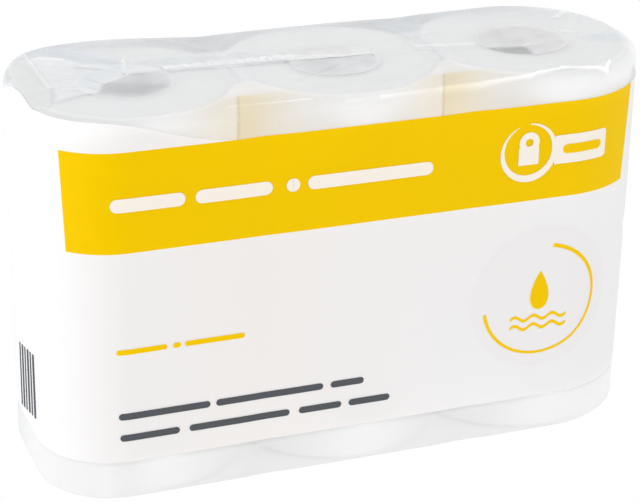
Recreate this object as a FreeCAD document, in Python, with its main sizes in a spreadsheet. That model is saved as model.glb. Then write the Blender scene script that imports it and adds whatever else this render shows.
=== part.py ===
import FreeCAD, Part
import math
import os

import Sketcher
from FreeCAD import Rotation, Vector

# A pack of toilet rolls, three across and two high, in a clear printed film bag.
# Millimetres. +X runs along the pack's length, -Y is its front, +Z is up.
# The origin is the middle of the base.

# Driving dimensions
SIZES = [
    # Rolls, pressed flat where they touch each other
    ("roll_diameter", 117.2),
    ("roll_squeeze", 4.1),
    ("roll_height", 99.7),
    ("contact_round", 14.0),
    ("joint_round", 1.5),
    ("turn_mark_radius", 31.0),
    ("turn_mark_step", 11.0),
    ("turn_mark_depth", 0.4),
    # Cardboard tubes
    ("core_bore", 44.0),
    ("core_wall", 0.8),
    # Film bag
    ("film_wall", 0.2),
    ("film_slack", 0.2),
    ("end_flat_left", 38.0),
    ("end_flat_right", 8.0),
    ("top_round", 6.0),
    ("bottom_round", 2.0),
    # Folded film at the two ends of the top
    ("fold_thickness", 0.4),
    ("fold_inset", 15.0),
    ("fold_front", 20.0),
    ("fold_back", 46.0),
    ("fold_tip", 9.0),
    # Heat seal along the top
    ("seal_length", 106.0),
    ("seal_width", 5.0),
    ("seal_thickness", 0.8),
    ("seal_shift", 32.0),
    ("seal_back", 3.8),
    ("seal_angle", 6.6),
    # Film drawn into the bores at the two ends
    ("dish_width", 40.0),
    ("dish_depth", 2.5),
    # Ink: a white field all round, and a band of colour on the front and on the back
    ("ink", 0.1),
    ("white_low", 21.0),
    ("band_drop", 14.2),
    ("band_height", 51.6),
    ("band_inset_left", 12.1),
    ("band_inset_right", 17.4),
    # Count badge, on the band: a ring that is wider on its right, and a tab
    ("count_inset", 79.9),
    ("count_lift", 1.0),
    ("count_diameter", 32.0),
    ("count_bore", 27.0),
    ("count_shift", 1.5),
    ("tab_start", 13.5),
    ("tab_length", 31.0),
    ("tab_height", 15.5),
    # Round badge, on the white field: a pale disc with a thin ring on it
    ("badge_inset", 67.9),
    ("badge_lift", 0.9),
    ("badge_diameter", 80.0),
    ("ring_diameter", 63.0),
    ("ring_line", 1.2),
]

# Sizes that follow from the driving ones
DERIVED = [
    ("roll_radius", "roll_diameter / 2"),
    ("contact", "roll_radius - roll_squeeze"),
    ("core_radius", "core_bore / 2 + core_wall"),
    ("cover", "film_wall + film_slack"),
    ("half_depth", "roll_radius + cover"),
    ("end_reach", "contact * 3 + cover"),
    ("outer_left", "sqrt(roll_radius ^ 2 - end_flat_left ^ 2 / 4)"),
    ("outer_right", "sqrt(roll_radius ^ 2 - end_flat_right ^ 2 / 4)"),
    ("centre_left", "end_reach - cover - outer_left"),
    ("centre_right", "end_reach - cover - outer_right"),
    ("pack_height", "roll_height * 2 + film_wall * 2 + film_slack"),
    ("dish_ball", "(dish_width ^ 2 / 4 + dish_depth ^ 2) / (dish_depth * 2)"),
    ("band_high", "pack_height - band_drop"),
    ("band_low", "band_high - band_height"),
    ("band_left", "end_reach - band_inset_left"),
    ("band_right", "end_reach - band_inset_right"),
    ("count_x", "end_reach - count_inset"),
    ("count_z", "(band_low + band_high) / 2 + count_lift"),
    ("badge_x", "end_reach - badge_inset"),
    ("badge_z", "(white_low + band_low) / 2 + badge_lift"),
]

# Where each column of rolls stands, and how far its rolls reach to their left and right.
# A roll at an end is pressed as flat on its outer side as the film is there.
COLUMNS = {
    "left": ("0 - @centre_left", "@outer_left", "@centre_left - @contact"),
    "middle": ("0", "@contact", "@contact"),
    "right": ("@centre_right", "@centre_right - @contact", "@outer_right"),
}
# The foot of each layer of rolls, and the rounding of their lower and upper rims
LAYERS = {
    "lower": ("@film_wall", "@bottom_round", "@joint_round"),
    "upper": ("@film_wall + @roll_height", "@joint_round", "@top_round - @cover"),
}

doc = FreeCAD.newDocument("roll_pack")
sheet = doc.addObject("Spreadsheet::Sheet", "sizes")
cells = [(alias, str(value)) for alias, value in SIZES]
cells += [(alias, "=" + formula) for alias, formula in DERIVED]
for row, (alias, content) in enumerate(cells, start=1):
    sheet.set(f"A{row}", alias)
    sheet.set(f"B{row}", content)
    sheet.setAlias(f"B{row}", alias)
    doc.recompute()


# Helpers. In a formula, @ stands before the name of a cell.

def size(formula):
    """The value that a formula has now."""
    return float(sheet.evalExpression(formula.replace("@", "")))


def bind(item, **formulas):
    """Ties properties to cells: two underscores stand for the dot in a property's path."""
    for path, formula in formulas.items():
        item.setExpression(path.replace("__", "."), formula.replace("@", "sizes."))


def new_sketch(body, name, role="XY_Plane", **lift):
    """A sketch on one of the body's own origin planes."""
    plane = next(item for item in body.Origin.OriginFeatures if item.Role == role)
    sketch = body.newObject("Sketcher::SketchObject", name)
    sketch.AttachmentSupport = [(plane, "")]
    sketch.MapMode = "FlatFace"
    bind(sketch, **lift)
    return sketch


def relate(sketch, kind, *ends):
    sketch.addConstraint(Sketcher.Constraint(kind, *ends))


def dimension(sketch, kind, name, formula, *ends):
    """A named dimension that is tied to a formula."""
    index = sketch.addConstraint(Sketcher.Constraint(kind, *ends, size(formula)))
    sketch.renameConstraint(index, name)
    sketch.setExpression("Constraints." + name, formula.replace("@", "sizes."))


def line(x1, y1, x2, y2):
    return Part.LineSegment(Vector(x1, y1, 0), Vector(x2, y2, 0))


def circle(radius, x=0.0, y=0.0):
    return Part.Circle(Vector(x, y, 0), Vector(0, 0, 1), radius)


def arc(x, y, radius, start, end):
    """An arc about a point, anticlockwise from one angle in degrees to another."""
    return Part.ArcOfCircle(circle(radius, x, y), math.radians(start), math.radians(end))


def closed(sketch, shapes, joint="Coincident"):
    """Adds shapes that run head to tail round a loop, and returns the first one's number."""
    first = sketch.addGeometry(shapes, False)[0]
    for step in range(len(shapes)):
        relate(sketch, joint, first + step, 2, first + (step + 1) % len(shapes), 1)
    return first


def pad(body, name, sketch, length):
    feature = body.newObject("PartDesign::Pad", name)
    feature.Profile = sketch
    bind(feature, Length=length)
    doc.recompute()
    return feature


def fillet(body, name, base, edges, radius):
    feature = body.newObject("PartDesign::Fillet", name)
    feature.Base = (base, edges)
    bind(feature, Radius=radius)
    doc.recompute()
    return feature


def edge_names(feature, wanted):
    boxes = [edge.BoundBox for edge in feature.Shape.Edges]
    return [f"Edge{number}" for number, box in enumerate(boxes, start=1) if wanted(box)]


def rim(feature, height, inner_radius=0.0):
    """Names of the edges that lie at one height and outside a radius about the axis."""
    return edge_names(feature, lambda box: abs(box.ZMin - height) < 1e-4
                      and abs(box.ZMax - height) < 1e-4
                      and max(box.XMax, -box.XMin, box.YMax, -box.YMin) > inner_radius)


def primitive(kind, name, **formulas):
    item = doc.addObject(kind, name)
    bind(item, **formulas)
    return item


def boolean(kind, name, base, tool):
    item = doc.addObject("Part::" + kind, name)
    item.Base = base
    item.Tool = tool
    return item


def fuse(name, shapes):
    item = doc.addObject("Part::MultiFuse", name)
    item.Shapes = shapes
    return item


# The pack's outline, which the film and every layer of ink share

def pack_outline(sketch, tag, offset="0"):
    """The outline in plan, moved outwards by a formula: flat sides and round corners."""
    end = size("@end_reach")
    deep = size("@half_depth")
    left = deep - size("@end_flat_left") / 2
    right = deep - size("@end_flat_right") / 2
    front = closed(sketch, [
        line(left - end, -deep, end - right, -deep),
        arc(end - right, right - deep, right, 270, 360),
        line(end, right - deep, end, deep - right),
        arc(end - right, deep - right, right, 0, 90),
        line(end - right, deep, left - end, deep),
        arc(left - end, deep - left, left, 90, 180),
        line(-end, deep - left, -end, left - deep),
        arc(left - end, left - deep, left, 180, 270),
    ], "Tangent")
    right_end, back, left_end = front + 2, front + 4, front + 6
    relate(sketch, "Horizontal", front)
    relate(sketch, "Horizontal", back)
    relate(sketch, "Vertical", right_end)
    relate(sketch, "Vertical", left_end)
    relate(sketch, "Equal", front + 1, right_end + 1)
    relate(sketch, "Equal", back + 1, left_end + 1)
    reach, depth = "@end_reach + " + offset, "@half_depth + " + offset
    dimension(sketch, "DistanceY", tag + "_front", depth, front, 1, -1, 1)
    dimension(sketch, "DistanceY", tag + "_back", depth, -1, 1, back, 1)
    dimension(sketch, "DistanceX", tag + "_right", reach, -1, 1, right_end, 1)
    dimension(sketch, "DistanceX", tag + "_left", reach, left_end, 1, -1, 1)
    dimension(sketch, "DistanceY", tag + "_flat_right", "@end_flat_right",
              right_end, 1, right_end, 2)
    dimension(sketch, "DistanceY", tag + "_flat_left", "@end_flat_left",
              left_end, 2, left_end, 1)


# Tissue rolls

def stand(body, layer, column):
    """Puts a roll or its tube in its place in the pack."""
    bind(body, Placement__Base__x=COLUMNS[column][0], Placement__Base__z=LAYERS[layer][0])


def roll(layer, column):
    """One roll: round, flat on two sides, with a bore for its tube and a few turns marked."""
    body = doc.addObject("PartDesign::Body", f"roll_{layer}_{column}")
    left_reach, right_reach = COLUMNS[column][1:]
    low_round, high_round = LAYERS[layer][1:]
    radius, left, right = size("@roll_radius"), size(left_reach), size(right_reach)
    turn_left, turn_right = (math.degrees(math.acos(reach / radius)) for reach in (left, right))
    edge_left, edge_right = (math.sqrt(radius ** 2 - reach ** 2) for reach in (left, right))

    sketch = new_sketch(body, body.Name + "_outline")
    closed(sketch, [
        line(right, -edge_right, right, edge_right),
        arc(0, 0, radius, turn_right, 180 - turn_left),
        line(-left, edge_left, -left, -edge_left),
        arc(0, 0, radius, 180 + turn_left, 360 - turn_right),
    ])
    bore = sketch.addGeometry(circle(size("@core_radius")), False)
    for curve in (1, 3, bore):
        relate(sketch, "Coincident", curve, 3, -1, 1)
    relate(sketch, "Vertical", 0)
    relate(sketch, "Vertical", 2)
    relate(sketch, "Equal", 1, 3)
    dimension(sketch, "Radius", "outside", "@roll_radius", 1)
    dimension(sketch, "DistanceX", "right", right_reach, -1, 1, 0, 1)
    dimension(sketch, "DistanceX", "left", left_reach, 2, 1, -1, 1)
    dimension(sketch, "Radius", "bore", "@core_radius", bore)
    block = pad(body, body.Name + "_block", sketch, "@roll_height")

    corners = edge_names(block, lambda box: box.ZLength > 1 and box.YLength < 1e-4
                         and max(box.XMax, -box.XMin) > min(left, right) - 1e-3)
    eased = fillet(body, body.Name + "_eased", block, corners, "@contact_round")
    outside = size("@core_radius") + 1
    foot = rim(eased, 0, outside)
    footed = fillet(body, body.Name + "_foot", eased, foot, low_round)
    head = rim(footed, size("@roll_height"), outside)
    fillet(body, body.Name + "_head", footed, head, high_round)
    turn_marks(body)
    stand(body, layer, column)
    return body


def turn_marks(body):
    """Shallow V rings in both end faces, where the wound turns show."""
    depth, height = size("@turn_mark_depth"), size("@roll_height")
    sketch = new_sketch(body, body.Name + "_turns", "XZ_Plane")
    for ring in range(2):
        along = f"@turn_mark_radius + @turn_mark_step * {ring}"
        middle = size(along)
        for end, face, root in (("foot", 0.0, depth), ("head", height, height - depth)):
            first = closed(sketch, [
                line(middle - depth, face, middle + depth, face),
                line(middle + depth, face, middle, root),
                line(middle, root, middle - depth, face),
            ])
            relate(sketch, "Horizontal", first)
            tag = f"{end}_{ring}_"
            dimension(sketch, "DistanceX", tag + "root_x", along, -1, 1, first + 1, 2)
            dimension(sketch, "DistanceX", tag + "inner_x", along + " - @turn_mark_depth",
                      -1, 1, first, 1)
            dimension(sketch, "DistanceX", tag + "outer_x", along + " + @turn_mark_depth",
                      -1, 1, first, 2)
            if end == "head":
                dimension(sketch, "DistanceY", tag + "face", "@roll_height", -1, 1, first, 1)
                root_height = "@roll_height - @turn_mark_depth"
            else:
                relate(sketch, "PointOnObject", first, 1, -1)
                root_height = "@turn_mark_depth"
            dimension(sketch, "DistanceY", tag + "root", root_height, -1, 1, first + 1, 2)
    feature = body.newObject("PartDesign::Groove", body.Name + "_turned")
    feature.Profile = sketch
    feature.ReferenceAxis = (sketch, ["V_Axis"])
    feature.Angle = 360
    doc.recompute()


# Cardboard tubes

def core(layer, column):
    body = doc.addObject("PartDesign::Body", f"core_{layer}_{column}")
    sketch = new_sketch(body, body.Name + "_section")
    for name, radius in (("outside", "@core_radius"), ("bore", "@core_bore / 2")):
        curve = sketch.addGeometry(circle(size(radius)), False)
        relate(sketch, "Coincident", curve, 3, -1, 1)
        dimension(sketch, "Radius", name, radius, curve)
    pad(body, body.Name + "_tube", sketch, "@roll_height")
    stand(body, layer, column)
    return body


# Film bag

def bag_block(name, inset, low, high):
    """A block of the pack's outline between two heights, with rounded rims."""
    body = doc.addObject("PartDesign::Body", name)
    sketch = new_sketch(body, name + "_outline", AttachmentOffset__Base__z=low)
    pack_outline(sketch, "plan", f"(0 - {inset})")
    block = pad(body, name + "_block", sketch, f"{high} - {low}")
    foot = fillet(body, name + "_foot", block, rim(block, size(low)), f"@bottom_round - {inset}")
    fillet(body, name + "_shoulder", foot, rim(foot, size(high)), f"@top_round - {inset}")
    return body


def flat_top(thickness):
    """The flat stretch of the top, as a slab that stands a little out of the film."""
    body = doc.addObject("PartDesign::Body", "flat_top")
    sketch = new_sketch(body, "flat_top_outline",
                        AttachmentOffset__Base__z="@pack_height - @film_wall / 2")
    pack_outline(sketch, "plan", "(0 - @top_round)")
    pad(body, "flat_top_slab", sketch, thickness)
    return body


def end_fold(side, thickness):
    """The folded film on one end of the top: a triangle with its tip over the bore."""
    body = doc.addObject("PartDesign::Body", f"fold_{side}")
    sketch = new_sketch(body, body.Name + "_outline",
                        AttachmentOffset__Base__z="@pack_height - @film_wall / 2")
    way = -1 if side == "left" else 1
    tip = way * size("@centre_" + side)
    base = way * size("@end_reach - @fold_inset")
    front, back, height = size("@fold_front"), size("@fold_back"), size("@fold_tip")
    closed(sketch, [
        line(tip, height, base, -front),
        line(base, -front, base, back),
        line(base, back, tip, height),
    ])
    relate(sketch, "Vertical", 1)
    middle, tip_end, base_end = (-1, 1), (0, 1), (1, 1)
    for name, end, formula in (("tip", tip_end, "@centre_" + side),
                               ("base", base_end, "@end_reach - @fold_inset")):
        ends = middle + end if way > 0 else end + middle
        dimension(sketch, "DistanceX", name + "_x", formula, *ends)
    dimension(sketch, "DistanceY", "tip_y", "@fold_tip", *middle, *tip_end)
    dimension(sketch, "DistanceY", "front_y", "@fold_front", *base_end, *middle)
    dimension(sketch, "DistanceY", "back_y", "@fold_back", *middle, 1, 2)
    pad(body, body.Name + "_sheet", sketch, thickness)
    return body


def seal_strip():
    """The heat seal: a narrow strip along the top, a little askew."""
    strip = primitive("Part::Box", "seal_strip", Length="@seal_length", Width="@seal_width",
                      Height="@seal_thickness + @film_wall / 2")
    cosine, sine = "cos(@seal_angle * 1deg)", "sin(@seal_angle * 1deg)"
    half_length, half_width = "@seal_length / 2", "@seal_width / 2"
    bind(strip, Placement__Rotation__Angle="@seal_angle * -1deg",
         Placement__Base__x=f"0 - @seal_shift - {half_length} * {cosine} - {half_width} * {sine}",
         Placement__Base__y=f"@seal_back + {half_length} * {sine} - {half_width} * {cosine}",
         Placement__Base__z="@pack_height - @film_wall / 2")
    return strip


def dished(name, skin, more):
    """A skin of the bag, pressed in over the two end bores by the same pair of balls."""
    balls = []
    for side in ("left", "right"):
        balls.append(primitive("Part::Sphere", f"{name}_ball_{side}",
                               Radius=f"@dish_ball + {more}",
                               Placement__Base__x=COLUMNS[side][0],
                               Placement__Base__z="@pack_height - @dish_depth + @dish_ball"))
    return boolean("Cut", name, skin, fuse(name + "_balls", balls))


def film():
    """The bag: an outer skin, with its folds and seal, less an inner one."""
    thickness = "@fold_thickness + @film_wall / 2"
    top = flat_top(thickness)
    folds = [boolean("Common", f"folded_{side}", end_fold(side, thickness), top)
             for side in ("left", "right")]
    skin = bag_block("bag_outside", "0", "0", "@pack_height")
    outside = dished("dished_outside", fuse("bag_raised", [skin, *folds, seal_strip()]), "0")
    lining = bag_block("bag_inside", "@film_wall", "@film_wall", "(@pack_height - @film_wall)")
    inside = dished("dished_inside", lining, "@film_wall")
    return boolean("Cut", "film_wrap", outside, inside)


# Ink

def sleeve(name, layer, low, high):
    """One thickness of ink all round the pack, with so many others under it."""
    body = doc.addObject("PartDesign::Body", name)
    sketch = new_sketch(body, name + "_outline", AttachmentOffset__Base__z=low)
    pack_outline(sketch, "within", f"@ink * {layer}")
    pack_outline(sketch, "without", f"@ink * {layer + 1}")
    pad(body, name + "_sleeve", sketch, f"{high} - {low}")
    return body


def band(name, front):
    """The band of colour on one face: a stretch of a sleeve between two heights."""
    left, foremost = ("@band_left", "@half_depth + 5") if front else ("@band_right", "0 - 15")
    reach = primitive("Part::Box", name + "_reach", Length="@band_left + @band_right",
                      Width="@half_depth - 10", Height="@band_high - @band_low",
                      Placement__Base__x="0 - " + left, Placement__Base__y=f"0 - ({foremost})",
                      Placement__Base__z="@band_low")
    return boolean("Common", name, sleeve(name + "_layer", 1, "@band_low", "@band_high"), reach)


def bar(name, diameter, x, z):
    """A round bar that runs forward from inside the pack through its front."""
    item = primitive("Part::Cylinder", name, Radius=diameter + " / 2", Height="@half_depth",
                     Placement__Base__x=x, Placement__Base__y="0 - @half_depth / 6",
                     Placement__Base__z=z)
    item.Placement.Rotation = Rotation(Vector(1, 0, 0), 90)
    return item


def count_badge():
    """On the band: a ring, wider on its right, joined to a tab."""
    ring = boolean("Cut", "count_ring", bar("count_outside", "@count_diameter", "@count_x", "@count_z"),
                   bar("count_inside", "@count_bore", "@count_x - @count_shift", "@count_z"))
    tab = primitive("Part::Box", "count_tab", Length="@tab_length", Width="@half_depth",
                    Height="@tab_height", Placement__Base__x="@count_x + @tab_start",
                    Placement__Base__y="0 - @half_depth - 5",
                    Placement__Base__z="@count_z - @tab_height / 2")
    layer = sleeve("count_layer", 2, "@band_low", "@band_high")
    return boolean("Common", "print_count_badge", layer, fuse("count_shape", [ring, tab]))


def round_badge():
    """On the white field: a pale disc."""
    layer = sleeve("badge_layer", 1, "@white_low", "@band_low")
    return boolean("Common", "print_round_badge", layer,
                   bar("badge_bar", "@badge_diameter", "@badge_x", "@badge_z"))


def round_ring():
    """A thin ring on the pale disc."""
    layer = sleeve("ring_layer", 2, "@white_low", "@band_low")
    inner = "(@ring_diameter - @ring_line * 2)"
    hoop = boolean("Cut", "ring_bar", bar("ring_outside", "@ring_diameter", "@badge_x", "@badge_z"),
                   bar("ring_inside", inner, "@badge_x", "@badge_z"))
    return boolean("Common", "print_round_ring", layer, hoop)


nodes = [film()]
for layer in LAYERS:
    for column in COLUMNS:
        nodes.append(roll(layer, column))
        nodes.append(core(layer, column))
nodes.append(sleeve("print_white", 0, "@white_low", "@band_high"))
nodes.append(band("print_band_front", True))
nodes.append(band("print_band_back", False))
nodes += [count_badge(), round_badge(), round_ring()]
doc.recompute()

# Nothing is written unless every object is sound
for item in doc.Objects:
    if "Invalid" in item.State or "Error" in item.State:
        raise RuntimeError(f"{item.Label} failed: {item.State}")
for node in nodes:
    if node.Shape.isNull() or not node.Shape.isValid():
        raise RuntimeError(f"{node.Label} has no valid shape")

os.makedirs("parts", exist_ok=True)
for node in nodes:
    node.Shape.exportStep(os.path.join("parts", node.Label + ".step"))
    box = node.Shape.BoundBox
    print(f"{node.Label}: {len(node.Shape.Solids)} solid, {node.Shape.Volume:.1f} mm3,",
          f"z {box.ZMin:.2f} to {box.ZMax:.2f}")
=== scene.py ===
"""Looks of the clear film pack of toilet rolls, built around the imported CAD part."""

import math

import bpy
import numpy as np
from mathutils import Matrix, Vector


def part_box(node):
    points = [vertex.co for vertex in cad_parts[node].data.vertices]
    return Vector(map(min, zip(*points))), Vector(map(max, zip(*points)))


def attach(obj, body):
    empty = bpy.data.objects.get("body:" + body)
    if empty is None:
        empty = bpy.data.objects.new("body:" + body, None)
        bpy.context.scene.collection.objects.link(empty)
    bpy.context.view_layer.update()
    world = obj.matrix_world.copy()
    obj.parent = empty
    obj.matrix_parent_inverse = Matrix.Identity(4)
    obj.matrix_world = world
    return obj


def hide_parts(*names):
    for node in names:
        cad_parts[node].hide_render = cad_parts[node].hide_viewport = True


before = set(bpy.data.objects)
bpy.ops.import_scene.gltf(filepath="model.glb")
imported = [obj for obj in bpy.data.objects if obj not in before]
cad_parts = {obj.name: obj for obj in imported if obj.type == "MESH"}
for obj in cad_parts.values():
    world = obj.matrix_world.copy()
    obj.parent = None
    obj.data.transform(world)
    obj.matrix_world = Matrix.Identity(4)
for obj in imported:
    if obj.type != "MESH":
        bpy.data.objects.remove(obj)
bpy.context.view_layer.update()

MM = 0.001
QUARTER = math.pi / 2

# The pack's sizes in millimetres, read from the CAD part where it has them
film_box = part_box("film_wrap")
END = film_box[1].x / MM
SIDE = film_box[1].y / MM
TOP = 200.0
CORNER_LEFT = 40.0
CORNER_RIGHT = 55.0
FOOT = 2.0
SHOULDER = 6.0
WHITE_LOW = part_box("print_white")[0].z / MM
WHITE_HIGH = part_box("print_white")[1].z / MM
BAND_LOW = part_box("print_band_front")[0].z / MM

# Arc lengths where the front band starts and stops, at its lower and its upper edge
BAND_START = (-155.2, -157.6)
BAND_STOP = (147.2, 152.4)

# Rolls: their middles, and the right and left limits that press them flat
ROLL_PLACES = {"left": -108.1, "middle": 0.0, "right": 105.0}
ROLL_RADIUS = 58.4
CORE_RADIUS = 22.8
GAPS = (-54.5, 54.5)
FILM_ROOM = 0.4
ROLL_ROOM = 0.1
ROLL_LIMITS = {
    "left": (GAPS[0], -END + FILM_ROOM),
    "middle": (GAPS[1], GAPS[0]),
    "right": (END - FILM_ROOM, GAPS[1]),
}
TUBE_WALL = 0.8

# How far ink and the marks on it stand off the film
INK = 0.15
BADGE = 0.28
MARK = 0.35
BADGE_MARK = 0.42


# Outline of the pack seen from above: runs of length and curvature from the front's middle
RUNS = (
    (END - CORNER_RIGHT, 0.0),
    (CORNER_RIGHT * QUARTER, 1 / CORNER_RIGHT),
    (2 * (SIDE - CORNER_RIGHT), 0.0),
    (CORNER_RIGHT * QUARTER, 1 / CORNER_RIGHT),
    (2 * END - CORNER_RIGHT - CORNER_LEFT, 0.0),
    (CORNER_LEFT * QUARTER, 1 / CORNER_LEFT),
    (2 * (SIDE - CORNER_LEFT), 0.0),
    (CORNER_LEFT * QUARTER, 1 / CORNER_LEFT),
    (END - CORNER_LEFT, 0.0),
)
ROUND_LENGTH = sum(length for length, _ in RUNS)


def outline(s):
    """Plan points and outward directions at arc lengths s, from the front's middle to the right."""
    s = np.mod(np.asarray(s, float), ROUND_LENGTH)
    point = np.zeros(s.shape + (2,))
    out = np.zeros(s.shape + (2,))
    start = 0.0
    corner = np.array([0.0, -SIDE])
    heading = 0.0
    for length, curvature in RUNS:
        inside = (s >= start) & (s <= start + length)
        t = s[inside] - start
        turned = heading + curvature * t
        if curvature:
            along = (np.sin(turned) - math.sin(heading)) / curvature
            across = (math.cos(heading) - np.cos(turned)) / curvature
        else:
            along = t * math.cos(heading)
            across = t * math.sin(heading)
        point[inside] = corner + np.stack([along, across], -1)
        out[inside] = np.stack([np.sin(turned), -np.cos(turned)], -1)
        stop = heading + curvature * length
        if curvature:
            corner = corner + np.array([
                (math.sin(stop) - math.sin(heading)) / curvature,
                (math.cos(heading) - math.cos(stop)) / curvature,
            ])
        else:
            corner = corner + length * np.array([math.cos(heading), math.sin(heading)])
        heading = stop
        start += length
    return point, out


def smooth(low, high, value):
    """0 below low, 1 above high, with a soft change between."""
    t = np.clip((value - low) / (high - low), 0, 1)
    return t * t * (3 - 2 * t)


def bell(value, width):
    """1 at zero, falling softly to 0 on both sides."""
    return np.exp(-((value / width) ** 2))


def waves(x, y, z, scale):
    """Soft uneven waves between -1 and 1."""
    total = 0.0
    for turn, share in ((0.3, 1.0), (1.7, 0.8), (2.9, 0.7), (4.1, 0.5), (5.3, 0.4)):
        way = x * math.cos(turn) + y * math.sin(turn) + z * math.cos(2.3 * turn)
        total = total + share * np.sin(way * (0.8 + 0.35 * turn) / scale + 3.1 * turn)
    return total / 3.4


# Creases on the top: start, stop, width, height, tone and haze of each. A tone below 1 is painted shade in
# the crease; a tone above 1 with high haze is a painted highlight along it, as on the front right shoulder.
TOP_CREASES = (
    ((-147, 49), (-146, 0), 0.9, 0.30, 1.03, 0.3),
    ((-146, -3), (-150, -20), 0.8, 0.30, 0.93, 0.1),
    ((-142, 41), (-131, 35), 0.9, 0.35, 1.02, 0.4),
    ((-127, 24), (-117, 19), 1.0, -0.35, 0.84, 0.0),
    ((-117, 19), (-108, 14), 0.6, -0.20, 0.94, 0.0),
    ((-143, 26), (-128, 22), 0.7, 0.20, 0.97, 0.1),
    ((-143, 12), (-124, 10), 0.7, 0.20, 0.97, 0.1),
    ((-126, 8), (-120, 0), 0.7, -0.25, 0.86, 0.0),
    ((-128, -5), (-123, -11), 0.9, -0.25, 0.86, 0.0),
    ((-141, -4), (-127, -8), 0.7, 0.25, 1.01, 0.2),
    ((-104, 14), (-102, 27), 0.6, 0.40, 1.05, 0.5),
    ((-106, 9), (-106, 11), 0.7, -0.20, 0.72, 0.0),
    ((-103, 9), (-97, 7), 0.8, -0.35, 0.76, 0.0),
    ((-97, 7), (-84, 6), 0.5, 0.25, 0.92, 0.1),
    ((-84, 5.5), (-24, 2.5), 0.7, 0.35, 1.03, 0.3),
    ((-24, 3), (-23, 1), 0.7, -0.20, 0.60, 0.0),
    ((-18, 2.2), (7, 1.4), 0.6, -0.15, 0.93, 0.0),
    ((20.5, 1), (21.5, -3), 0.6, -0.20, 0.72, 0.0),
    ((22, -0.5), (45, -0.5), 0.8, 0.25, 0.965, 0.1),
    ((47, 0), (56, -4), 0.9, 0.25, 0.94, 0.1),
    ((56, -4), (76, -5.5), 0.9, 0.25, 0.93, 0.1),
    ((48, 5), (78, -1), 1.5, 0.30, 1.03, 0.2),
    ((-13, -18), (1, -8), 1.2, -0.30, 0.93, 0.0),
    ((-28, -26), (-13, -18), 1.1, -0.20, 0.965, 0.0),
    ((-22, -36), (44, -38), 1.8, -0.20, 0.985, 0.0),
    ((100, -10), (106, -7), 1.0, 0.30, 1.03, 0.4),
    ((86, -12), (101, -11), 0.7, 0.30, 0.90, 0.3),
    ((104, 15), (110, 18), 1.3, -0.20, 0.93, 0.0),
    ((128, 7), (137, 1), 0.9, 0.30, 1.03, 0.3),
    ((138, 27), (148, 35), 1.5, 0.40, 1.04, 0.3),
    ((137, -12), (156, -17), 0.8, 0.30, 1.02, 0.2),
    ((-71, -50.5), (-50, -51), 0.8, 0.10, 1.03, 0.25),
    ((-50, -51), (-31, -51.8), 0.8, 0.10, 1.05, 0.35),
    ((-14, -56.9), (6, -56.7), 0.5, 0.08, 1.02, 0.10),
    ((4, -56.7), (36, -56), 0.8, 0.15, 1.05, 0.30),
    ((36, -56), (84, -53.4), 1.3, 0.30, 1.12, 0.75),
    ((84, -53.4), (92, -51), 1.5, 0.30, 1.08, 0.6),
    ((92, -51), (106, -49), 1.8, 0.35, 1.08, 0.6),
    ((106, -49), (118, -52), 1.8, 0.35, 1.08, 0.6),
    ((118, -52), (127, -54), 1.4, 0.30, 1.08, 0.6),
    ((127, -54), (133, -46), 0.8, 0.30, 1.08, 0.6),
)

# Folded layers and facets on the top: corners, tone of red, green and blue, haze and softness of the edge.
# The layers are real film, but their tones are also painted shade and painted reflection on the facets, and
# the haze over the gaps between the rolls lightens the shade there.
TOP_PATCHES = (
    (((-160, 27), (-157, 44), (-148, 50), (-146, -3), (-150, -20), (-154, -27), (-158, -26), (-160, -20)),
     (0.955, 0.965, 0.950), 0.30, 0.7),
    (((-143, 55), (-125, 47), (-119, 40), (-107, 33), (-103, 27), (-106, 16), (-113, 25), (-122, 29),
      (-133, 39), (-147, 44)), (0.90, 0.93, 0.955), 0.25, 0.9),
    (((-146, 42), (-133, 38), (-122, 28), (-113, 25), (-105, 16), (-105, 9), (-120, 0), (-125, -12),
      (-148, -20), (-145, -3)), (0.965, 0.975, 0.985), 0.50, 2.0),
    (((-86, 5), (-24, 2), (-22, 12), (-40, 26), (-98, 28), (-104, 18), (-88, 12)),
     (0.955, 0.97, 0.975), 0.15, 1.2),
    (((136, -2), (158, -6), (158, -16), (137, -12)), (0.94, 0.965, 0.985), 0.20, 1.2),
    (((60, 60), (66, 46), (100, 40), (138, 26), (148, 34), (120, 60)), (0.965, 0.975, 0.98), 0.10, 4.0),
    (((-78, 51), (-67, 44), (-60, 33), (-52, 27), (-44, 40), (-33, 52), (-50, 60)),
     (0.92, 0.935, 0.95), 0.20, 1.5),
    (((-62, 26), (-47, 26), (-49, -24), (-60, -24)), (0.985, 0.99, 0.99), 0.32, 4.0),
    (((47, 26), (62, 26), (60, -24), (49, -24)), (0.985, 0.99, 0.99), 0.32, 4.0),
    (((37, 52), (43, 40), (52, 14), (59, 29), (68, 47), (52, 60)), (0.905, 0.93, 0.955), 0.20, 1.5),
)
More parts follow.
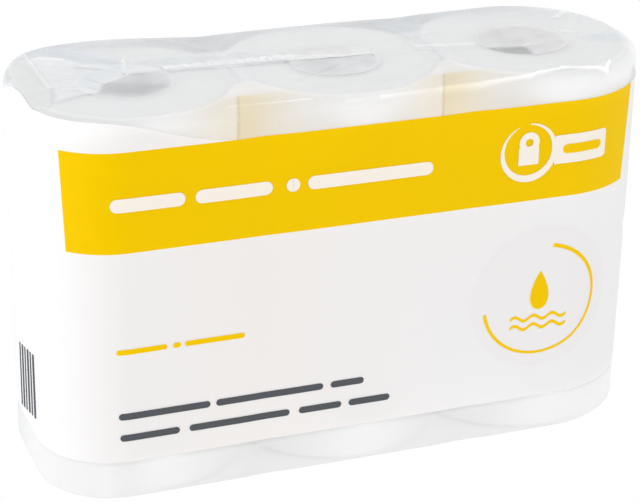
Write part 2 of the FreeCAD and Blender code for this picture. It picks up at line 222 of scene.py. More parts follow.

# Folded layers seen only over the tubes' mouths, with the same values. Their darker tones are also painted
# shade of the mouths, and their haze sets how much of the mouths' shade shows through.
MOUTH_PATCHES = (
    (((-24, 2), (-20, 22), (24, 22), (26, 0), (0, 2.2)), (0.955, 0.955, 0.955), 0.60, 1.2),
    (((-24, 2), (26, 0), (26, -26), (-24, -26)), (0.945, 0.948, 0.952), 0.50, 1.4),
    (((-21, 13), (-20, 20), (20, 20), (22, 13)), (0.93, 0.93, 0.93), 0.10, 2.5),
    (((-132, -30), (-80, -30), (-80, 30), (-132, 30)), (0.985, 0.988, 0.992), 0.36, 4.0),
    (((-124, -14), (-106, -25), (-90, -16), (-102, -3), (-120, -1)), (0.97, 0.97, 0.97), -0.14, 6.0),
    (((-136, -8), (-128, -5), (-120, 5), (-108, 10), (-97, 10), (-80, 11), (-84, 26), (-108, 29),
      (-126, 24), (-138, 6)), (0.955, 0.965, 0.97), 0.42, 4.5),
    (((78, -8), (85, -10), (101, -10), (102, -14), (100, -27), (112, -27), (130, -14), (132, 4), (118, 24),
      (104, 26), (88, 22), (78, 8)), (0.955, 0.95, 0.955), 0.50, 2.2),
    (((80, -11), (82, -2), (91, 2), (99, -4), (104, -9), (92, -13)), (0.92, 0.94, 0.925), 0.10, 0.9),
    (((80, -13), (91, -12), (103, -11), (101, -27), (92, -26)), (0.90, 0.905, 0.91), 0.12, 1.2),
)

# Dishes where the film sinks over the tubes: place along x, depth and radius
DISHES = ((-108, 1.0, 24), (0, 0.5, 22), (105, 1.0, 24))

# Seams between the rolls as they show through the top: place at the front and lean towards the back
SEAMS = ((-69.7, 0.31), (35.6, 0.43))


def from_line(x, y, start, stop):
    """Distance of plan points from the line between two points."""
    run = np.array(stop, float) - np.array(start, float)
    along = ((x - start[0]) * run[0] + (y - start[1]) * run[1]) / (run @ run)
    held = np.clip(along, 0, 1)
    return np.hypot(x - start[0] - held * run[0], y - start[1] - held * run[1])


def within(x, y, corners, edge):
    """1 inside the corners and 0 outside, with a soft edge."""
    inside = np.zeros(x.shape, bool)
    away = np.full(x.shape, 1e9)
    for start, stop in zip(corners, corners[1:] + corners[:1]):
        away = np.minimum(away, from_line(x, y, start, stop))
        crosses = (start[1] > y) != (stop[1] > y)
        slope = (stop[0] - start[0]) / (stop[1] - start[1] or 1e-9)
        inside ^= crosses & (x < start[0] + (y - start[1]) * slope)
    return smooth(-edge, edge, np.where(inside, away, -away))


def top_relief(x, y):
    """Height of the film's top above its plane."""
    relief = 0.14 * waves(x, y, 0, 13)
    for place, depth, radius in DISHES:
        relief = relief - depth * (1 - smooth(0.25, 1.0, np.hypot(x - place, y) / radius))
    for gap in GAPS:
        spread = 4 + 0.010 * y ** 2
        relief = relief - 0.6 * bell(x - gap, spread) * smooth(22, 56, np.abs(y))
    for start, stop, width, height, _, _ in TOP_CREASES:
        relief = relief + height * bell(from_line(x, y, start, stop), width)
    return relief + 2.8 * bell(x + 112, 42) * smooth(18, 50, y)


def past_gap(x, y):
    """Nearness to the gaps between the rolls at the front: wide, of their painted yellowish light, and of
    the seam, where painted shade darkens the crevice.
    """
    near, warm_light, seam = 0.0, 0.0, 0.0
    for foot, lean in SEAMS:
        right = x - foot - lean * (y + 59)
        near = near + bell(right, 38)
        warm_light = warm_light + np.where(right > 0, bell(right, 21), 0.42 * bell(right, 17))
        seam = seam + bell(right - 0.3, 0.7)
    return near, warm_light, seam


def top_tone(x, y):
    """Colour and haze of the film on the top, where it is folded or creased: greyer than the side as
    painted shade, with painted shade, highlights and reflections at its folds, creases and over the tubes'
    mouths, and painted light from the gaps.
    """
    # Greyer than the side's tone: painted shade on the top
    tone = np.ones(x.shape + (3,)) * np.array([0.926, 0.928, 0.931])
    haze = 0.32 + 0.05 * waves(x, y, 5, 9)
    from_middles = np.minimum.reduce([np.hypot(x - place, y) for place in ROLL_PLACES.values()])
    from_mouths = np.minimum.reduce([np.hypot(x - place + 0.7, y + 1.8) for place in ROLL_PLACES.values()])
    mouth = 1 - smooth(CORE_RADIUS + 0.7, CORE_RADIUS + 2.2, from_mouths)
    for patches, limit in ((TOP_PATCHES, 1), (MOUTH_PATCHES, mouth)):
        for corners, color, more, edge in patches:
            share = limit * within(x, y, corners, edge)
            tone = tone * (1 - share[..., None] * (1 - np.array(color)))
            haze = haze + share * more * (1 + 0.15 * waves(x, y, 1, 3))
    # Creases: painted shade where their tone is below 1, painted highlights where it is above 1
    for start, stop, width, _, factor, more in TOP_CREASES:
        share = bell(from_line(x, y, start, stop), width)
        tone = tone * (1 - share[..., None] * (1 - factor))
        haze = haze + share * more
    share = smooth(51, 55, from_middles) * smooth(-14, -24, y)
    return paint_gap_light_and_shade(x, y, tone, haze, share, share * smooth(-36, -41, y))


def paint_gap_light_and_shade(x, y, tone, haze, share, gap_light_and_shade):
    """Adds painted light and shade: yellowish light past the gaps from the yellow band, shade along each
    seam, and grey shade towards the rear of the top and its rear edge, with milkier film near the gaps and
    at the rear.
    """
    near, warm_light, seam = past_gap(x, y)
    front = smooth(-15, -30, y)
    # Painted grey shade towards the rear of the top and along its rear edge
    back_shade = smooth(44, 57, y) + smooth(4, 0, inset(x, y)) * smooth(-10, 20, y)
    # Painted yellowish light past each gap, painted shade along each seam, and a little painted yellowish
    # light near the gaps
    tone = tone * (1 - (front * gap_light_and_shade * warm_light)[..., None] * np.array([0.04, 0.135, 0.35]))
    tone = tone * (1 - (front * gap_light_and_shade * seam)[..., None] * np.array([0.16, 0.20, 0.24]))
    tone = tone * (1 - (front * share * near)[..., None] * np.array([0.0, 0.015, 0.04]))
    tone = tone * (1 - back_shade[..., None] * np.array([0.07, 0.06, 0.05]))
    # Milkier film near the gaps lightens their shade
    haze = haze + front * share * (0.30 + 0.28 * near) + 0.2 * back_shade
    return np.clip(tone, 0, 1), np.clip(haze, 0, 0.97)


FACET_START = -146
FACET_SLOPE = 0.11


def facet(x, y, z):
    """Cuts the shoulder at the left end flat, where the film is pulled over the roll's rim."""
    reach = smooth(-32, -22, y) * (1 - smooth(44, 54, y))
    plane = TOP + 0.2 - FACET_SLOPE * (FACET_START - x)
    return np.where(x < FACET_START, z + reach * (np.minimum(z, plane) - z), z)


def inset(x, y):
    """Distance of plan points from the outline, towards the middle."""
    corner = np.where(x < 0, CORNER_LEFT, CORNER_RIGHT)
    past_end = np.abs(x) - (END - corner)
    past_side = np.abs(y) - (SIDE - corner)
    out = np.hypot(np.maximum(past_end, 0), np.maximum(past_side, 0))
    return corner - out - np.minimum(np.maximum(past_end, past_side), 0)


def film_height(x, y):
    """Height of the film's top surface at plan points, with its round shoulder."""
    past = SHOULDER - np.minimum(inset(x, y), SHOULDER)
    round_top = TOP - SHOULDER + np.sqrt(np.maximum(SHOULDER ** 2 - past ** 2, 0))
    return facet(x, y, round_top + top_relief(x, y))


def wall_relief(x, y, z):
    """How far the film's side stands out of the outline."""
    relief = 0.22 * waves(x, y, 0.5 * z, 24)
    relief = relief - 0.5 * bell(z - 100, 5) * smooth(100, 140, np.abs(x))
    relief = relief + 2.8 * bell(np.hypot(x + 148, y - 52), 17) * smooth(90, 190, z)
    for gap in GAPS:
        near_end = smooth(160, 200, z) + 0.6 * smooth(40, 0, z)
        relief = relief - (0.25 + 0.9 * near_end) * bell(x - gap, 9)
    return relief


def wall(s, z, lift=0.0):
    """Points on the film's side at arc length s and height z, lifted off it."""
    point, out = outline(s)
    push = lift + wall_relief(point[..., 0], point[..., 1], z)
    plan = point + out * push[..., None]
    return np.concatenate([plan, z[..., None] * np.ones(plan.shape[:-1] + (1,))], -1)


def rim(s, angle, lift=0.0, below=0.0):
    """Points on the film's shoulder, at an angle up from the wall, or below it on the wall."""
    radius = SHOULDER + lift
    z = TOP - SHOULDER - below + radius * np.sin(angle) * np.ones(s.shape)
    return wall(s, z, radius * np.cos(angle) - SHOULDER)


def crown(points):
    """Lifts points near the top by the film's relief, and cuts them at the facet."""
    x, y, z = points[..., 0], points[..., 1], points[..., 2]
    share = smooth(TOP - SHOULDER, TOP - 1, z)
    points[..., 2] = facet(x, y, z + share * top_relief(x, y))
    return points


def grid_faces(rows, columns, closed=False, first=0):
    """Faces of a grid of points, closed around its rows or open, from vertex first on."""
    faces = []
    last = columns if closed else columns - 1
    for row in range(rows - 1):
        for column in range(last):
            following = (column + 1) % columns
            a = first + row * columns
            b = a + columns
            faces.append((a + column, a + following, b + following, b + column))
    return faces


class Shape:
    """Vertices and faces of one piece, in millimetres."""

    def __init__(self):
        self.vertices = []
        self.faces = []
        self.tone = []
        self.haze = []

    def grid(self, points, closed=False):
        """Adds rows of points and the faces between them."""
        rows, columns = points.shape[:2]
        self.faces += grid_faces(rows, columns, closed, len(self.vertices))
        self.vertices += points.reshape(-1, 3).tolist()

    def paint(self, tone, haze=None):
        """Gives the last points added their tone, and their haze if they are film."""
        self.tone += np.concatenate([tone, np.ones(tone.shape[:-1] + (1,))], -1).reshape(-1).tolist()
        if haze is not None:
            self.haze += haze.reshape(-1).tolist()

    def add(self, name, material, slot, nodes=()):
        """Makes the piece, which stands for the CAD nodes named."""
        mesh = bpy.data.meshes.new(name)
        mesh.from_pydata((np.array(self.vertices) * MM).tolist(), [], self.faces)
        if self.tone:
            mesh.attributes.new("tone", "FLOAT_COLOR", "POINT").data.foreach_set("color", self.tone)
        if self.haze:
            mesh.attributes.new("haze", "FLOAT", "POINT").data.foreach_set("value", self.haze)
        mesh.shade_smooth()
        mesh.materials.append(material)
        piece = bpy.data.objects.new(name, mesh)
        bpy.context.scene.collection.objects.link(piece)
        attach(piece, "root")
        if nodes:
            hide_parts(*nodes)
        return piece


# Materials
def new_material(name):
    """Empty material and its node tree."""
    material = bpy.data.materials.new(name)
    material.use_nodes = True
    material.node_tree.nodes.clear()
    return material.node_tree, material


def node(tree, kind, **values):
    """New shader node with constant values on its own sockets."""
    made = tree.nodes.new(kind)
    for name, value in values.items():
        made.inputs[name.replace("_", " ")].default_value = value
    return made


def link(tree, source, target):
    """Joins one node's output to another's input."""
    tree.links.new(source, target)


def finish_material(tree, shader):
    """Makes the shader the surface of its material."""
    output = tree.nodes.new("ShaderNodeOutputMaterial")
    link(tree, shader.outputs[0], output.inputs["Surface"])


def mix(tree, first, second, share):
    """Mix of two shaders by a number or by another node's output."""
    made = tree.nodes.new("ShaderNodeMixShader")
    if hasattr(share, "is_linked"):
        link(tree, share, made.inputs["Fac"])
    else:
        made.inputs["Fac"].default_value = share
    link(tree, first.outputs[0], made.inputs[1])
    link(tree, second.outputs[0], made.inputs[2])
    return made


def painted(tree, name, output):
    """Output of the values painted on a piece's vertices under that name."""
    made = tree.nodes.new("ShaderNodeAttribute")
    made.attribute_name = name
    return made.outputs[output]


def film_material(name, roughness):
    """Clear film: milky where its haze is high, with a soft gloss."""
    tree, material = new_material(name)
    clear = tree.nodes.new("ShaderNodeBsdfTransparent")
    front = tree.nodes.new("ShaderNodeBsdfDiffuse")
    through = tree.nodes.new("ShaderNodeBsdfTranslucent")
    tone = painted(tree, "tone", "Color")
    for shader in (clear, front, through):
        link(tree, tone, shader.inputs["Color"])
    gloss = node(tree, "ShaderNodeBsdfGlossy", Color=(0.90, 0.91, 0.93, 1), Roughness=roughness)
    edge = node(tree, "ShaderNodeLayerWeight", Blend=0.03)
    milk = mix(tree, front, through, 0.18)
    sheet = mix(tree, clear, milk, painted(tree, "haze", "Fac"))
    finish_material(tree, mix(tree, sheet, gloss, edge.outputs["Facing"]))
    return material


def ink_material(name, color, through, glow):
    """Print on film: matt colour, greyer where it is seen edge on, with some light coming through."""
    tree, material = new_material(name)
    body = tree.nodes.new("ShaderNodeBsdfDiffuse")
    if color:
        body.inputs["Color"].default_value = color
    else:
        link(tree, painted(tree, "tone", "Color"), body.inputs["Color"])
    shine = node(tree, "ShaderNodeBsdfTranslucent", Color=glow)
    gloss = node(tree, "ShaderNodeBsdfGlossy", Color=(0.6, 0.61, 0.63, 1), Roughness=0.3)
    edge = node(tree, "ShaderNodeLayerWeight", Blend=0.018)
    finish_material(tree, mix(tree, mix(tree, body, shine, through), gloss, edge.outputs["Facing"]))
    return material


def paper_material(name, bump_scale, bump_height):
    """Matt paper in its painted tone, finely embossed."""
    tree, material = new_material(name)
    body = node(tree, "ShaderNodeBsdfPrincipled", Roughness=0.95, Specular_IOR_Level=0.05)
    link(tree, painted(tree, "tone", "Color"), body.inputs["Base Color"])
    place = tree.nodes.new("ShaderNodeTexCoord")
    dots = node(tree, "ShaderNodeTexVoronoi", Scale=bump_scale)
    bump = node(tree, "ShaderNodeBump", Strength=0.35, Distance=bump_height)
    link(tree, place.outputs["Object"], dots.inputs["Vector"])
    link(tree, dots.outputs["Distance"], bump.inputs["Height"])
    link(tree, bump.outputs["Normal"], body.inputs["Normal"])
    finish_material(tree, body)
    return material


film = film_material("clear_film", 0.14)
white_ink = ink_material("white_ink", None, 0.18, (0.98, 0.96, 0.95, 1))
yellow_ink = ink_material("yellow_ink", (0.99, 0.655, 0.0, 1), 0.25, (1.0, 0.66, 0.0, 1))
cream_ink = ink_material("cream_ink", (0.93, 0.867, 0.78, 1), 0.10, (0.9, 0.85, 0.8, 1))
pale_ink = ink_material("pale_ink", (0.905, 0.888, 0.883, 1), 0.18, (0.96, 0.95, 0.95, 1))
grey_ink = ink_material("grey_ink", (0.088, 0.096, 0.106, 1), 0.02, (0.3, 0.3, 0.3, 1))
tissue = paper_material("tissue", 420, 0.0003)
cardboard = paper_material("cardboard", 900, 0.0002)


# Film: bottom, foot, side, shoulder and top in one closed bag
def spine(point):
    """Line in the middle of the top that the film's rows close on."""
    x = np.clip(point[..., 0], ROLL_PLACES["left"], ROLL_PLACES["right"])
    return np.stack([x, np.zeros_like(x)], -1)


def flat_rows(edge, steps):
    """Flat rows from the edge row to the spine, at the shares of the way given."""
    middle = np.concatenate([spine(edge), edge[:, 2:]], -1)
    return [edge + (middle - edge) * share for share in steps]


def bag():
    """Bottom, foot, side, shoulder and top of the bag."""
    columns = 872
    s = np.arange(columns) * ROUND_LENGTH / columns
    rows = flat_rows(wall(s, np.zeros(columns), -FOOT), np.linspace(1, 0.1, 4))
    for angle in np.linspace(0, QUARTER, 4):
        z = np.full(columns, FOOT - FOOT * math.cos(angle))
        rows.append(wall(s, z, FOOT * math.sin(angle) - FOOT))
    for z in np.linspace(FOOT, TOP - SHOULDER, 36)[1:-1]:
        rows.append(wall(s, np.full(columns, z)))
    rows += [rim(s, angle) for angle in np.linspace(0, QUARTER, 12)]
    rows += flat_rows(rows[-1], np.linspace(0, 1, 58)[1:])
    return crown(np.array(rows))


def bag_tone(points):
    """Tone and haze of the whole bag: milkier at the left end and at the foot below the ink, darker at that
    foot by painted shade, most at the left end, a little darker above the ink, and with the gaps' painted
    light and shade high on the side.
    """
    x, y, z = points[..., 0], points[..., 1], points[..., 2]
    tone = np.ones(points.shape) * np.array([0.978, 0.980, 0.983])
    low = smooth(WHITE_LOW + 3, WHITE_LOW, z)
    under = 1 - smooth(0.2, 1.5, z)
    left = smooth(-118, -150, x)
    high = smooth(WHITE_HIGH - 2, WHITE_HIGH + 2, z)
    # Painted shade at the foot below the ink, most at the left end; a little darker above the ink
    tone = tone * (1 - 0.07 * left * low - 0.02 * high - 0.012 * low)[..., None]
    tone = tone * (1 - low[..., None] * np.array([0.0, 0.003, 0.008]))
    milky = left * (1 - high * smooth(10, 32, y))
    haze = 0.30 + 0.04 * waves(x, y, z, 12) + 0.35 * milky * (1 + high) + 0.44 * low + 0.1 * under
    share = smooth(150, 180, z)
    side_tones, side_haze = paint_gap_light_and_shade(x, y, tone, haze, share, share)
    top_tones, top_haze = top_tone(x, y)
    share = smooth(TOP - SHOULDER, TOP - 1.5, z)
    tones = side_tones + (top_tones - side_tones) * share[..., None]
    return tones, side_haze + (top_haze - side_haze) * share


film_bag = Shape()
bag_points = bag()
film_bag.grid(bag_points, closed=True)
film_bag.paint(*bag_tone(bag_points))
film_bag.add("film_bag", film, "film", ["film_wrap"])


# Heat seal that lies back on the top: its front edge, and its width at the same places
SEAL_FRONT = ((-86, 6.5), (-60, 4.8), (-24, 2.8), (0, 2.2), (21.5, -0.6))
SEAL_WIDTH = (6.5, 7.5, 8.5, 4.0, 3.0)


def seal_strip():
    """Crimped strip a little above the film, and its haze, raised in specks that are painted glints of the
    crimps.
    """
    columns = 540
    x = np.linspace(SEAL_FRONT[0][0], SEAL_FRONT[-1][0], columns)
    knots = [point[0] for point in SEAL_FRONT]
    front = np.interp(x, knots, [point[1] for point in SEAL_FRONT])
    width = np.interp(x, knots, SEAL_WIDTH) * (1 + 0.10 * np.sin(x * 0.9) + 0.06 * np.sin(x * 2.7))
    crimp = np.sin(x * 2.9) * np.sin(x * 1.3 + 1) + 0.5 * np.sin(x * 5.3 + np.sin(x * 0.7))
    # Painted glints: specks of higher haze where the crimps would catch the light
    painted_glints = smooth(0.75, 1.3, crimp + 0.6 * bell(x + 36, 14) + 0.55 * np.sin(x * 0.31) * np.sin(x * 0.83))
    rows, haze = [], []
    for t in np.linspace(0, 1, 14):
        y = front + t * width
        z = film_height(x, y) + 0.2 + 0.03 * math.sin(math.pi * t) * (1 + crimp)
        rows.append(np.stack([x, y, z], -1))
        haze.append(0.62 + 0.35 * painted_glints * smooth(0.15, 0.45, t) * (1 - smooth(0.6, 1, t)))
    return np.array(rows), np.array(haze)


seal = Shape()
seal_points, seal_haze = seal_strip()
seal.grid(seal_points)
seal.paint(np.ones(seal_points.shape), seal_haze)
seal.add("top_seal", film, "film")


# Print on the film's side
band_rows = np.linspace(BAND_LOW, WHITE_HIGH, 16)
front_start = np.interp(band_rows, (BAND_LOW, WHITE_HIGH), BAND_START)
front_stop = np.interp(band_rows, (BAND_LOW, WHITE_HIGH), BAND_STOP)
right_back = 2 * (END - CORNER_RIGHT) + 2 * CORNER_RIGHT * QUARTER + 2 * (SIDE - CORNER_RIGHT)


def on_wall(s, z, lift=MARK):
    """Points off the film's side, from lists or arrays of arc lengths and heights."""
    return wall(np.asarray(s, float), np.asarray(z, float), lift)


def between(starts, stops, columns):
    """Rows of a band whose two ends change place with height."""
    share = np.linspace(0, 1, columns)
    s = starts[:, None] + (stops - starts)[:, None] * share
    return wall(s, band_rows[:, None] * np.ones(columns), INK)


# White above the band: how far it reaches along the front, and the lengths over which it sinks
WHITE_REACH = 90
SINK_BACK = 50
SINK_FRONT = 75


def white_shoulder():
    """White from the band's top up over the shoulder, around the left end."""
    s = np.linspace(right_back - BAND_START[1], ROUND_LENGTH + BAND_START[1] + WHITE_REACH, 230)
    taper = smooth(0, SINK_BACK, s - s[0]) * smooth(0, SINK_FRONT, s[-1] - s)
    room = TOP - SHOULDER - WHITE_HIGH
    rows = []
    for share in np.linspace(0, 1, 14):
        climb = share * taper * (room + 1.15 * SHOULDER)
        rows.append(rim(s, np.maximum(climb - room, 0) / SHOULDER, INK, np.maximum(room - climb, 0)))
    points = crown(np.array(rows))
    points[..., 2] += 0.12 * smooth(TOP - SHOULDER, TOP - 2, points[..., 2])
    return points


def white_tone(points):
    """White of the ink, with painted yellowish light from the band on the front's left half, and painted
    light, brighter and cooler, at the left end and over its shoulder.
    """
    x, y, z = points[..., 0], points[..., 1], points[..., 2]
    # Painted yellowish light from the band on the front's left half
    warm_light = bell(x + 62, 75) * smooth(0, -30, y)
    end_light = smooth(-135, -160, x)
    base = np.array([0.928, 0.918, 0.918])
    # Painted light, brighter and cooler, at the left end, and brighter still over its shoulder
    base = base * (1 + end_light[..., None] * np.array([0.034, 0.044, 0.050]))
    base = base * (1 + 0.035 * (smooth(WHITE_HIGH, TOP - 3, z) * smooth(-112, -136, x))[..., None])
    return base * (1 - warm_light[..., None] * np.array([0.0, 0.022, 0.042]))


white = Shape()
around = np.arange(440) * ROUND_LENGTH / 440
white.grid(on_wall(*np.meshgrid(around, np.linspace(WHITE_LOW, BAND_LOW, 34)), INK), closed=True)
white.grid(between(front_stop, right_back - front_stop, 34))
white.grid(between(right_back - front_start, ROUND_LENGTH + front_start, 34))
white.grid(white_shoulder())
white.paint(white_tone(np.array(white.vertices)))
white.add("white_field", white_ink, "white_ink", ["print_white"])

front_band = Shape()
front_band.grid(between(front_start, front_stop, 155))
front_band.add("front_band", yellow_ink, "yellow_ink", ["print_band_front"])

back_band = Shape()
back_band.grid(between(right_back - front_stop, right_back - front_start, 155))
back_band.add("back_band", yellow_ink, "yellow_ink", ["print_band_back"])


def bar(shape, start, stop, low, high, lift=MARK):
    """Plain bar with round ends."""
    radius = (high - low) / 2
    middle = (low + high) / 2
    ends = radius * (1 - np.cos(np.linspace(0, QUARTER, 6)))
    straight = np.linspace(start + radius, stop - radius, 12)[1:-1]
    columns = np.concatenate([start + ends, straight, stop - ends[::-1]])
    inner = np.minimum(columns - start, stop - columns)
    reach = np.where(inner < radius, np.sqrt(np.maximum(radius ** 2 - (radius - inner) ** 2, 1e-6)), radius)
    rows = [middle + reach * t for t in (-1, 0, 1)]
    shape.grid(on_wall(np.array([columns] * 3), np.array(rows), lift))


def ring(shape, centre, inner, outer, start, stop, lift=MARK, tall=1.0):
    """Part of a ring between two angles, with lists of its inner and outer radii on the way."""
    way = np.linspace(0, 1, 72)
    angle = np.radians(np.linspace(start, stop, 72))
    inner = np.interp(way, np.linspace(0, 1, len(inner)), inner)
    outer = np.interp(way, np.linspace(0, 1, len(outer)), outer)
    s, z = [], []
    for t in (0, 0.5, 1):
        radius = outer + (inner - outer) * t
        s.append(centre[0] + radius * np.cos(angle))
        z.append(centre[1] + radius * tall * np.sin(angle))
    shape.grid(on_wall(s, z, lift))


def disc(shape, centre, radii, lift, rows):
    """Plain disc, its radii along the way and up."""
    angle = np.linspace(0, 2 * math.pi, 72, endpoint=False)
    s = [centre[0] + radii[0] * t * np.cos(angle) for t in np.linspace(1, 0, rows)]
    z = [centre[1] + radii[1] * t * np.sin(angle) for t in np.linspace(1, 0, rows)]
    shape.grid(on_wall(s, z, lift), closed=True)


def drop(shape, centre, size, lift):
    """Plain drop with its point up."""
    angle = np.linspace(0, 2 * math.pi, 48, endpoint=False)
    rows_s, rows_z = [], []
    for t in np.linspace(1, 0, 7):
        rise = np.sin(angle / 2)
        rows_s.append(centre[0] + size * t * 0.62 * np.sin(angle) * rise)
        rows_z.append(centre[1] + size * t * np.cos(angle))
    shape.grid(on_wall(rows_s, rows_z, lift)[::-1], closed=True)


# Plain bars where the pack has lines of words: starts and stops along the side
HEADLINE = ((-133, -96), (-91, -52), (-45, -38), (-34, 32))
SMALL_LINE = ((-131.5, -106), (-103, -99), (-97, -66))
FIRST_LINE = ((-131, -84), (-81, -24), (-20, -2))
SECOND_LINE = ((-130.5, -100), (-95, -42), (-37, -14), (-10, 12.5))


def row_of_bars(shape, runs, low, high):
    """Bars between two heights, one for each start and stop."""
    for start, stop in runs:
        bar(shape, start, stop, low, high)


headline = Shape()
row_of_bars(headline, HEADLINE, 155.5, 162.5)
headline.add("headline_bars", cream_ink, "cream_ink")

small_line = Shape()
row_of_bars(small_line, SMALL_LINE, 80.6, 83.4)
small_line.add("small_line_bars", yellow_ink, "yellow_ink")

lines = Shape()
row_of_bars(lines, FIRST_LINE, 44.7, 48.4)
row_of_bars(lines, SECOND_LINE, 32.8, 36.5)
lines.add("line_bars", grey_ink, "grey_ink")


# Plain slanting stripes at the left end: width of each and the space after it
STRIPES = ((2.2, 3.0), (3.0, 3.0), (2.2, 3.4), (3.4, 3.0), (2.4, 3.2), (3.4, 0))
STRIPES_START = -216.5
STRIPES_MIDDLE = -206
STRIPE_HEIGHTS = np.linspace(27, 63, 4)
STRIPE_SLANT = 0.24

stripes = Shape()
place = STRIPES_START
for width, space in STRIPES:
    columns = np.linspace(place, place + width, 3)
    tilt = STRIPE_SLANT * (columns - STRIPES_MIDDLE)
    stripes.grid(on_wall([columns] * 4, [z + tilt for z in STRIPE_HEIGHTS]))
    place += width + space
stripes.add("plain_stripes", grey_ink, "grey_ink")


# Count badge: a ring that thins at the upper left, a plain roll in it, and a tab
# with its start, stop, lowest and highest place
COUNT_PLACE = (84, 161)
TAB = (98.5, 129, 152.5, 168)
TAB_MIDDLE = 160.3
TAB_CORNER = 2


def tab(shape, start, stop, low, high, corner):
    """Plain tab with two round corners at its right end."""
    turns = np.sin(np.linspace(0, QUARTER, 5)[1:])
    s = np.concatenate([np.linspace(start, stop - corner, 12), stop - corner * (1 - turns)])
    past = np.maximum(s - (stop - corner), 0)
    trim = corner - np.sqrt(np.maximum(corner ** 2 - past ** 2, 0))
    shape.grid(on_wall([s] * 3, [low + trim, np.full(s.shape, TAB_MIDDLE), high - trim]))


count = Shape()
ring(count, COUNT_PLACE, (14.6, 13.2, 12.4, 12.8, 14.6), (14.9, 15.8, 16.3, 15.6, 15.2), 113, 449)
tab(count, *TAB, TAB_CORNER)
count.add("count_badge", cream_ink, "cream_ink", ["print_count_badge"])

roll_mark = Shape()
ring(roll_mark, (COUNT_PLACE[0], 166.0), (2.1, 2.1), (5.6, 5.6), 0, 360, MARK + 0.12)
roll_mark.grid(on_wall(*np.meshgrid(np.linspace(78.4, 89.6, 6), np.linspace(154, 163.5, 5))))
roll_mark.add("roll_mark", cream_ink, "cream_ink")

tab_bar = Shape()
bar(tab_bar, 103, 125.5, 157.8, 162.8, MARK + 0.15)
tab_bar.add("tab_bar", yellow_ink, "yellow_ink")


# Round badge: a pale disc, a thin open ring, a plain drop and two waves
BADGE_PLACE = (96.5, 79)
BADGE_RADIUS = 40
RING_PLACE = (95.3, 77.7)
RING_RADII = ((30.4, 30.9, 30.9, 30.6), (32.6, 32.5, 32.4, 32.4))
WAVE_START = 79
WAVE_STOP = 111
WAVE_HEIGHT = 1.3
WAVE_LINE = 0.9

badge = Shape()
disc(badge, BADGE_PLACE, (BADGE_RADIUS, BADGE_RADIUS), BADGE, 16)
badge.add("round_badge", pale_ink, "pale_ink", ["print_round_badge"])

badge_ring = Shape()
ring(badge_ring, RING_PLACE, *RING_RADII, 79, -171, BADGE_MARK, 0.965)
badge_ring.add("round_ring", yellow_ink, "yellow_ink", ["print_round_ring"])

drops = Shape()
drop(drops, (95, 83), 11.0, BADGE_MARK)
for low in (62.5, 67.5):
    wave_s = np.linspace(WAVE_START, WAVE_STOP, 40)
    wave_z = low + WAVE_HEIGHT * np.sin((wave_s - WAVE_START) * 0.59)
    drops.grid(on_wall([wave_s] * 3, [wave_z - WAVE_LINE, wave_z, wave_z + WAVE_LINE], BADGE_MARK))
drops.add("drop_mark", yellow_ink, "yellow_ink")


# Rolls and their tubes
def round_row(x, radius, angle, z):
    """Row of points around the middle of a roll or tube."""
    return np.stack([x + radius * np.cos(angle), radius * np.sin(angle), np.full(angle.shape, z)], -1)


def turn_ring(share):
    """Height of the rings of turns on a roll's end, at a share of the way out from its bore."""
    return (0.10 * math.sin(share * 95) + 0.12 * math.sin(share * 37)) * (share < 0.98)


def roll_rows(low, high, foot_rim, top_rim):
    """Rows of a roll: share of the way from bore to side, height, and size of the nearest rim."""
    rows = [(share, low - turn_ring(share), foot_rim) for share in np.linspace(0, 1, 26)]
    for angle in np.linspace(0, QUARTER, 7)[1:]:
        rows.append((1 + math.sin(angle), low + foot_rim * (1 - math.cos(angle)), foot_rim))
    for z in np.linspace(low + foot_rim, high - top_rim, 16)[1:-1]:
        rows.append((2, z, foot_rim))
    for angle in np.linspace(QUARTER, 0, 7):
        rows.append((1 + math.sin(angle), high - top_rim * (1 - math.cos(angle)), top_rim))
    for share in np.linspace(1, 0, 26)[1:]:
        rows.append((share, high + turn_ring(share), top_rim))
    return rows


def roll_points(x, low, high, flats, rims):
    """Wound roll with its bore, soft rims and rings of turns on its two ends."""
    columns = 168
    angle = np.arange(columns) * 2 * math.pi / columns
    reach = np.full(columns, ROLL_RADIUS)
    for side, flat in flats:
        towards = np.maximum(side * np.cos(angle), 1e-3)
        reach = np.minimum(reach, flat / towards)
    pressed = 1 - 0.9 * smooth(0, 3, ROLL_RADIUS - reach)
    points = []
    for share, z, rim_size in roll_rows(low, high, *rims):
        if share <= 1:
            radius = CORE_RADIUS + (reach - rim_size * pressed - CORE_RADIUS) * share
        else:
            radius = reach - rim_size * pressed * (2 - share)
        radius = radius + 0.12 * np.sin(angle * 5 + z * 0.13) * (share > 1)
        points.append(round_row(x, radius, angle, z))
    points.append(points[0])
    return np.array(points)


def tube_points(x, low, high):
    """Cardboard tube with the step of its spiral seam on the inside."""
    columns = 64
    angle = np.arange(columns) * 2 * math.pi / columns
    rows = [round_row(x, CORE_RADIUS - 0.05, angle, z) for z in np.linspace(low, high, 20)]
    for z in np.linspace(high, low, 60):
        turn = np.mod(angle / (2 * math.pi) + z / 60, 1)
        step = 0.12 * smooth(0, 0.02, turn) * (1 - smooth(0.5, 0.52, turn))
        rows.append(round_row(x, CORE_RADIUS - TUBE_WALL - step, angle, z))
    rows.append(rows[0])
    return np.array(rows)


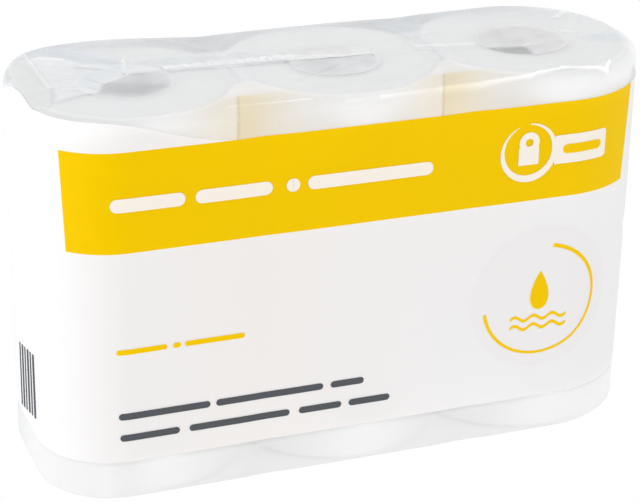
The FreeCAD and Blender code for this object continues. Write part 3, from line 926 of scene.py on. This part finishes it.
def roll_tone(points):
    """White tissue, with painted yellowish light in the gaps that the yellow bands light, painted shade at
    the foot of the gaps, and painted shade on the tops of the upper rolls.
    """
    x, y, z = points[..., 0], points[..., 1], points[..., 2]
    gap = bell(x - GAPS[0], 17) + bell(x - GAPS[1], 17)
    # Painted yellowish light from the yellow bands in the gaps
    warm_light = gap * smooth(-24, -40, y) * smooth(110, 150, z) * (1 - 0.85 * smooth(197.5, 199.1, z))
    white = np.array([0.982, 0.98, 0.976])
    # Painted shade at the foot of the gaps, and on the tops of the upper rolls
    foot = (1 - smooth(0.9, 3.2, z)) * bell(np.minimum(np.abs(x - GAPS[0]), np.abs(x - GAPS[1])), 40)
    white = white * (1 - 0.92 * foot[..., None])
    white = white * (1 - 0.13 * smooth(197.0, 198.6, z)[..., None])
    return white * (1 - warm_light[..., None] * np.array([0.0, 0.04, 0.13]))


# Layers of rolls: lowest and highest place, and the sizes of the lower and upper rims
LAYERS = {"lower": (0.4, 99.7, (2.5, 3.5)), "upper": (100.0, 199.0, (3.5, 5.6))}
TUBE_ROOM = 0.3
for layer, (low, high, rims) in LAYERS.items():
    for name, x in ROLL_PLACES.items():
        right_limit, left_limit = ROLL_LIMITS[name]
        flats = ((1, right_limit - x - ROLL_ROOM), (-1, x - left_limit - ROLL_ROOM))
        wound = Shape()
        turned = roll_points(x, low, high, flats, rims)
        if layer == "upper":
            turned[..., 2] = np.minimum(turned[..., 2], film_height(turned[..., 0], turned[..., 1]) - 0.7)
        wound.grid(turned, closed=True)
        wound.paint(roll_tone(turned))
        wound.add(f"wound_{layer}_{name}", tissue, "tissue", [f"roll_{layer}_{name}"])
        tube = Shape()
        tube_turned = tube_points(x, low + TUBE_ROOM, high - TUBE_ROOM)
        tube.grid(tube_turned, closed=True)
        tube.paint(np.ones(tube_turned.shape) * np.array([0.95, 0.945, 0.935]))
        tube.add(f"tube_{layer}_{name}", cardboard, "cardboard", [f"core_{layer}_{name}"])


# Floor, light and camera
FLOOR_REACH = 6.0
floor_mesh = bpy.data.meshes.new("floor")
floor_corners = [(x * FLOOR_REACH, y * FLOOR_REACH, 0) for x, y in ((-1, -1), (1, -1), (1, 1), (-1, 1))]
floor_mesh.from_pydata(floor_corners, [], [(0, 1, 2, 3)])
floor = bpy.data.objects.new("floor", floor_mesh)
floor.location.z = -0.0005
bpy.context.scene.collection.objects.link(floor)
tree, floor_material = new_material("floor")
finish_material(tree, node(tree, "ShaderNodeEmission", Color=(1, 1, 1, 1), Strength=1.0))
floor_mesh.materials.append(floor_material)

world = bpy.data.worlds.new("studio")
world.use_nodes = True
background = world.node_tree.nodes["Background"]
background.inputs["Color"].default_value = (0.992, 0.995, 1.0, 1)
background.inputs["Strength"].default_value = 1.04
bpy.context.scene.world = world


def panel(name, place, aim, size, power):
    """Soft square light at place, facing aim; all in metres and watts."""
    light = bpy.data.lights.new(name, "AREA")
    light.shape = "SQUARE"
    light.size = size
    light.energy = power
    lamp = bpy.data.objects.new(name, light)
    lamp.visible_glossy = False
    away = np.array(place) - np.array(aim)
    turn = math.atan2(away[0], -away[1])
    tilt = math.atan2(math.hypot(away[0], away[1]), away[2])
    lamp.matrix_world = (
        Matrix.Translation(place)
        @ Matrix.Rotation(turn, 4, "Z")
        @ Matrix.Rotation(tilt, 4, "X")
    )
    bpy.context.scene.collection.objects.link(lamp)


panel("left_panel", (-1.9, -0.3, 0.6), (0, 0, 0.1), 1.0, 9)
panel("right_panel", (1.3, -1.6, 0.8), (0, 0, 0.1), 1.2, 3.2)

# The photo's camera: photo width and focal length in pixels, sensor in millimetres, place in
# metres and turns in radians
PHOTO_WIDTH = 640
FOCAL_LENGTH = 2144.98
SENSOR_WIDTH = 36.0
CAMERA_PLACE = (-0.36888, -0.96081, 0.55449)
CAMERA_TURN = -0.3623
CAMERA_TILT = -0.4216
CAMERA_ROLL = -0.0188
camera_data = bpy.data.cameras.new("camera")
camera_data.sensor_width = SENSOR_WIDTH
camera_data.lens = SENSOR_WIDTH * FOCAL_LENGTH / PHOTO_WIDTH
camera = bpy.data.objects.new("camera", camera_data)
camera.matrix_world = (
    Matrix.Translation(CAMERA_PLACE)
    @ Matrix.Rotation(CAMERA_TURN, 4, "Z")
    @ Matrix.Rotation(CAMERA_TILT, 4, "X")
    @ Matrix.Rotation(CAMERA_ROLL, 4, "Y")
    @ Matrix.Rotation(QUARTER, 4, "X")
)
bpy.context.scene.collection.objects.link(camera)
bpy.context.scene.camera = camera
bpy.context.scene.view_settings.view_transform = "Standard"
